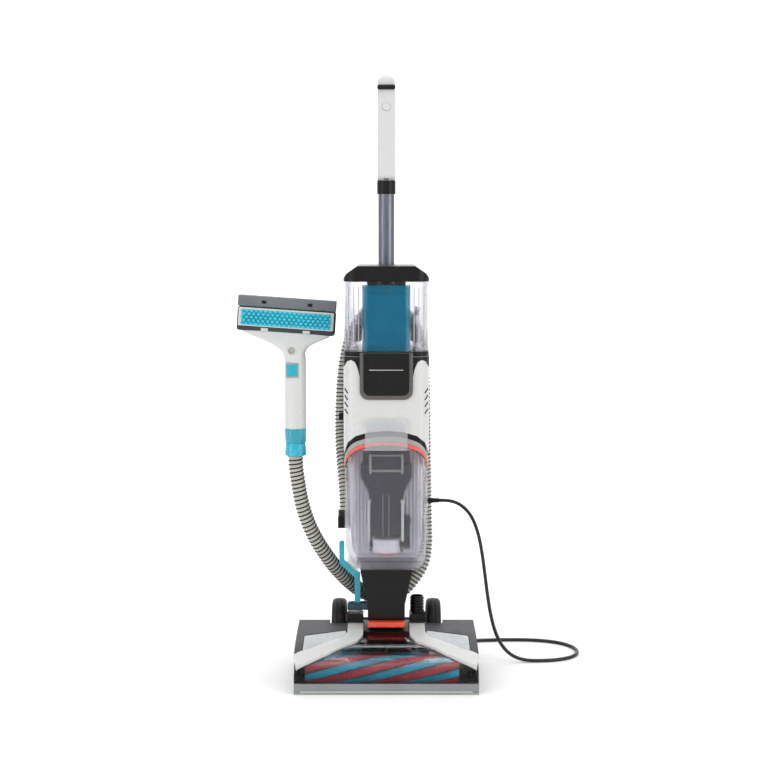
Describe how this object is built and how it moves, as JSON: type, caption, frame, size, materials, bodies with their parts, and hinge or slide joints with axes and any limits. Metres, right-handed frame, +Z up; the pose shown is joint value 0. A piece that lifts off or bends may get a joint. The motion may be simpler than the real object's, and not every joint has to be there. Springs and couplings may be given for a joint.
{
  "type": "upright carpet cleaner",
  "caption": "Upright carpet washing machine with a clear hooded brush head, lift-off water tanks, tall pole grip, a ribbed hose with a hand tool, and a power cord.",
  "frame": {"origin": "centre of the flat sole of the cleaning head, on the floor", "axes": "+Z up along the upright, -Y towards the front lip of the cleaning head, +X to the right of someone facing the front"},
  "size_m": [0.6751, 0.458, 1.15],
  "materials": {
    "white_plastic": "satin white moulding",
    "black_plastic": "satin black moulding",
    "dark_grey_plastic": "fine grained dark grey",
    "light_grey_plastic": "light grey insert",
    "clear_plastic": "clear polycarbonate",
    "smoke_plastic": "smoked translucent",
    "blue_tint": "tinted translucent blue",
    "teal_plastic": "gloss teal",
    "red_plastic": "gloss red",
    "red_seal": "soft red seal with pale lid",
    "navy_plastic": "matte navy",
    "black_rubber": "black rubber",
    "hose": "light film over black ribs",
    "teal_bristle": "nylon bristle",
    "red_bristle": "nylon bristle",
    "pole_metal": "grey anodised",
    "steel": "bright steel",
    "circuit_board": "green board",
    "lip_plastic": "translucent grey lip"
  },
  "bodies": {
    "base": {"chassis": "dark_grey_plastic", "front_lip": "lip_plastic", "left_cover": "dark_grey_plastic", "right_cover": "dark_grey_plastic", "cover_windows": "light_grey_plastic", "left_arm": "white_plastic", "right_arm": "white_plastic", "hinge_covers": "black_plastic", "hinge_pin": "steel", "wheel_axle": "steel", "brush_motor": "steel", "drive_belt": "black_rubber", "spray_bar": "clear_plastic", "brush_bearings": "dark_grey_plastic", "base_screws": "steel", "suction_bellows": "black_rubber", "cord_run": "black_rubber", "cord_coil": "black_rubber", "power_plug": "black_rubber"},
    "hood": {"hood": "clear_plastic"},
    "brush_roll": {"brush_core": "navy_plastic", "teal_bristles": "teal_bristle", "red_bristles": "red_bristle"},
    "motor_pulley": {"motor_pulley": "steel"},
    "release_button": {"release_button": "red_plastic"},
    "left_wheel": {"left_wheel": "black_rubber"},
    "right_wheel": {"right_wheel": "black_rubber"},
    "upright": {"neck": "black_plastic", "spine": "black_plastic", "casing": "white_plastic", "badge": "black_plastic", "tank_tray": "black_plastic", "mast": "black_plastic", "top_cap": "black_plastic", "suction_motor": "steel", "water_pump": "dark_grey_plastic", "control_board": "circuit_board", "cord_gland": "black_rubber", "hose_port": "black_plastic", "hose_clips": "black_plastic", "carried_hose": "hose", "free_hose": "hose", "pole": "pole_metal", "collar": "black_plastic", "grip": "white_plastic", "hand_tool": "white_plastic", "tool_brush": "teal_plastic", "tool_holder": "smoke_plastic"},
    "motor_fan": {"motor_fan": "steel"},
    "trigger": {"trigger": "black_plastic"},
    "power_button": {"power_button": "black_plastic"},
    "cord_hook": {"cord_hook": "black_plastic"},
    "clean_tank": {"clean_tank": "clear_plastic"},
    "solution_tank": {"solution_tank": "blue_tint"},
    "dirty_tank": {"dirty_tank": "clear_plastic", "tank_lid": "red_seal", "inlet_duct": "navy_plastic"},
    "tank_latch": {"tank_latch": "clear_plastic"},
    "tool_button": {"tool_button": "teal_plastic"},
    "detail_tool": {"detail_tool": "teal_plastic"}
  },
  "joints": [
    {"name": "recline", "type": "hinge", "parent": "base", "child": "upright", "pos_m": [0, 0.075, 0.07], "axis": [-1, 0, 0], "range_deg": [0, 60]},
    {"name": "left_wheel_spin", "type": "hinge", "parent": "base", "child": "left_wheel", "pos_m": [-0.0935, 0.09, 0.058], "axis": [1, 0, 0], "continuous": true},
    {"name": "right_wheel_spin", "type": "hinge", "parent": "base", "child": "right_wheel", "pos_m": [0.0935, 0.09, 0.058], "axis": [1, 0, 0], "continuous": true},
    {"name": "brush_spin", "type": "hinge", "parent": "base", "child": "brush_roll", "pos_m": [0, -0.113, 0.031], "axis": [1, 0, 0], "continuous": true},
    {"name": "motor_spin", "type": "hinge", "parent": "base", "child": "motor_pulley", "pos_m": [0.144, -0.038, 0.036], "axis": [1, 0, 0], "continuous": true},
    {"name": "hood_lift", "type": "slide", "parent": "base", "child": "hood", "axis": [0, 0, 1], "range_m": [0, 0.06]},
    {"name": "hood_release", "type": "slide", "parent": "base", "child": "release_button", "axis": [0, 0, -1], "range_m": [0, 0.003], "stiffness_N_per_m": 900, "springref_m": -0.002},
    {"name": "clean_tank_pull", "type": "slide", "parent": "upright", "child": "clean_tank", "axis": [0, -1, 0], "range_m": [0, 0.15]},
    {"name": "solution_tank_pull", "type": "slide", "parent": "clean_tank", "child": "solution_tank", "axis": [0, -1, 0], "range_m": [0, 0.06]},
    {"name": "dirty_tank_pull", "type": "slide", "parent": "upright", "child": "dirty_tank", "axis": [0, -1, 0], "range_m": [0, 0.12]},
    {"name": "latch_press", "type": "hinge", "parent": "dirty_tank", "child": "tank_latch", "pos_m": [0, -0.0486, 0.437], "axis": [1, 0, 0], "range_deg": [0, 20], "stiffness_Nm_per_rad": 0.15, "springref_deg": -14.32},
    {"name": "trigger_squeeze", "type": "hinge", "parent": "upright", "child": "trigger", "pos_m": [0, 0.1435, 1.1], "axis": [-1, 0, 0], "range_deg": [0, 6], "stiffness_Nm_per_rad": 0.6, "springref_deg": -5.73},
    {"name": "power_press", "type": "slide", "parent": "upright", "child": "power_button", "axis": [0, 1, 0], "range_m": [0, 0.002], "stiffness_N_per_m": 600, "springref_m": -0.002},
    {"name": "cord_hook_turn", "type": "hinge", "parent": "upright", "child": "cord_hook", "pos_m": [0, 0.159, 0.7565], "axis": [0, 1, 0], "range_deg": [0, 180]},
    {"name": "fan_spin", "type": "hinge", "parent": "upright", "child": "motor_fan", "pos_m": [0, 0.09, 0.535], "axis": [0, 0, 1], "continuous": true},
    {"name": "tool_button_press", "type": "slide", "parent": "upright", "child": "tool_button", "axis": [0, 1, 0], "range_m": [0, 0.0025], "stiffness_N_per_m": 600, "springref_m": -0.002},
    {"name": "detail_tool_lift", "type": "slide", "parent": "upright", "child": "detail_tool", "axis": [0, 0, 1], "range_m": [0, 0.012]}
  ],
  "couplings": [
    {"joint": "motor_spin", "follows": "brush_spin", "ratio": 2}
  ]
}
